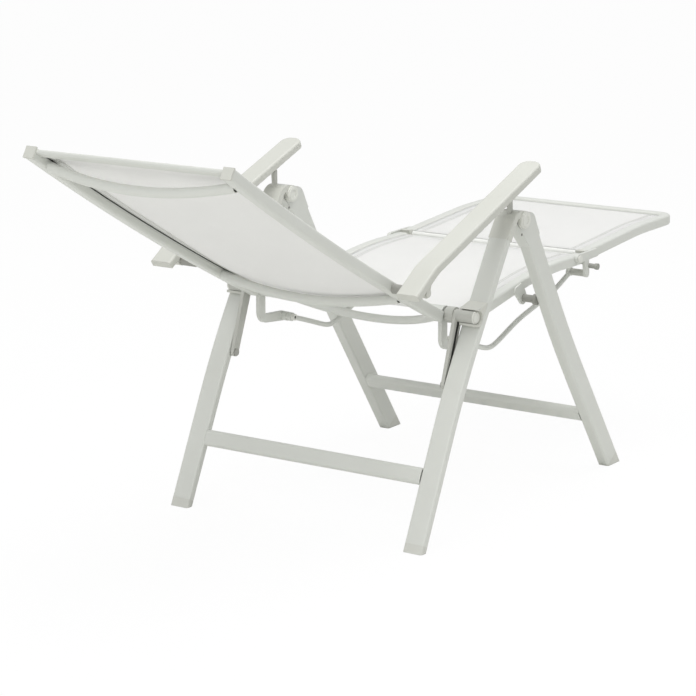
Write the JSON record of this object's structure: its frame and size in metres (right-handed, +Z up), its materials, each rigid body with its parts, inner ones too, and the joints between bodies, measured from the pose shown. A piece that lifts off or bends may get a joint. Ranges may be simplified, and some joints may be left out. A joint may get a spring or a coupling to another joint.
{
  "type": "reclining garden armchair",
  "caption": "Folding reclining garden armchair: tubular frame, stretched mesh slings, slotted armrests and a footrest that rises as the back lies down.",
  "frame": {"origin": "on the floor, at the centre of the chair's bounding box in plan, as the picture shows it: laid back, with the footrest up", "axes": "+X to the sitter's left, +Y to the rear, +Z up; the sitter faces -Y"},
  "size_m": [0.6, 1.5963, 0.7671],
  "materials": {
    "frame_coat": "off-white powder coat",
    "steel": "zinc plated",
    "head_plastic": "moulded, light grey",
    "armrest_plastic": "fine grained, off-white",
    "dark_plastic": "moulded, dark grey",
    "sling_fabric": "woven coated yarn mesh",
    "bumper_rubber": "matt"
  },
  "bodies": {
    "rear_frame": {"rear_leg_left": "frame_coat", "rear_leg_right": "frame_coat", "rear_cross_tube": "frame_coat", "rear_head_left": "head_plastic", "rear_head_right": "head_plastic", "rear_foot_caps": "head_plastic", "apex_pins": "steel", "armrest_catches": "dark_plastic", "axle_saddles": "head_plastic", "link_rivets": "steel"},
    "front_frame": {"front_leg_left": "frame_coat", "front_leg_right": "frame_coat", "front_cross_tube": "frame_coat", "front_head_left": "head_plastic", "front_head_right": "head_plastic", "front_foot_caps": "head_plastic"},
    "link_arms": {"link_arm_left": "frame_coat", "link_arm_right": "frame_coat", "rear_axles": "steel", "axle_spacers": "head_plastic", "axle_sleeves": "dark_plastic", "axle_caps": "head_plastic"},
    "seat_frame": {"seat_rail_left": "frame_coat", "seat_rail_right": "frame_coat", "seat_hub_left": "frame_coat", "seat_hub_right": "frame_coat", "seat_front_bar": "frame_coat", "seat_rear_bar": "frame_coat", "seat_sling": "sling_fabric", "seat_plugs": "head_plastic", "knee_pins": "steel", "seat_brackets": "frame_coat", "seat_pivots": "steel"},
    "backrest": {"back_rail_left": "frame_coat", "back_rail_right": "frame_coat", "back_crank_left": "frame_coat", "back_crank_right": "frame_coat", "back_head_bar": "frame_coat", "back_upper_bar": "frame_coat", "back_lower_bar": "frame_coat", "back_sling": "sling_fabric", "back_plugs": "head_plastic", "armrest_pins": "steel"},
    "footrest": {"foot_rail_left": "frame_coat", "foot_rail_right": "frame_coat", "foot_front_loop": "frame_coat", "foot_rear_bar": "frame_coat", "foot_sling": "sling_fabric", "foot_plugs": "head_plastic", "foot_levers": "frame_coat", "lever_pins": "steel", "foot_bumpers": "bumper_rubber"},
    "push_rods": {"push_rod_left": "frame_coat", "push_rod_right": "frame_coat", "rod_screws": "steel"},
    "armrest_pivots": {"armrest_bushes": "dark_plastic"},
    "armrest_left_body": {"armrest_left": "armrest_plastic", "armrest_rack_left": "dark_plastic"},
    "armrest_right_body": {"armrest_right": "armrest_plastic", "armrest_rack_right": "dark_plastic"}
  },
  "joints": [
    {"name": "fold", "type": "hinge", "parent": "rear_frame", "child": "front_frame", "pos_m": [0, -0.0355, 0.568], "axis": [1, 0, 0], "range_deg": [0, 60]},
    {"name": "link_swing", "type": "hinge", "parent": "rear_frame", "child": "link_arms", "pos_m": [0, 0.17, 0.283], "axis": [1, 0, 0], "range_deg": [-122.8, 0]},
    {"name": "seat_tilt", "type": "hinge", "parent": "link_arms", "child": "seat_frame", "pos_m": [0, 0.1265, 0.4075], "axis": [1, 0, 0], "range_deg": [0, 89.9]},
    {"name": "recline", "type": "hinge", "parent": "seat_frame", "child": "backrest", "pos_m": [0, 0.1265, 0.4075], "axis": [1, 0, 0], "range_deg": [0, 38]},
    {"name": "footrest_swing", "type": "hinge", "parent": "seat_frame", "child": "footrest", "pos_m": [0, -0.362, 0.4342], "axis": [1, 0, 0], "range_deg": [0, 76.2]},
    {"name": "rod_swing", "type": "hinge", "parent": "footrest", "child": "push_rods", "pos_m": [0, -0.396, 0.399], "axis": [1, 0, 0], "range_deg": [-79.1, 0]},
    {"name": "armrest_follow", "type": "hinge", "parent": "backrest", "child": "armrest_pivots", "pos_m": [0, 0.314, 0.487], "axis": [1, 0, 0], "range_deg": [-22.8, 0]},
    {"name": "armrest_lift_left", "type": "hinge", "parent": "armrest_pivots", "child": "armrest_left_body", "pos_m": [0, 0.314, 0.487], "axis": [-1, 0, 0], "range_deg": [0, 15]},
    {"name": "armrest_lift_right", "type": "hinge", "parent": "armrest_pivots", "child": "armrest_right_body", "pos_m": [0, 0.314, 0.487], "axis": [-1, 0, 0], "range_deg": [0, 15]}
  ],
  "couplings": [
    {"joint": "link_swing", "follows": "fold", "ratio": -2.0465},
    {"joint": "seat_tilt", "follows": "fold", "ratio": 1.4983},
    {"joint": "footrest_swing", "follows": "recline", "ratio": 2.0056},
    {"joint": "rod_swing", "follows": "recline", "ratio": -2.0822},
    {"joint": "armrest_follow", "follows": "recline", "ratio": -0.6}
  ]
}
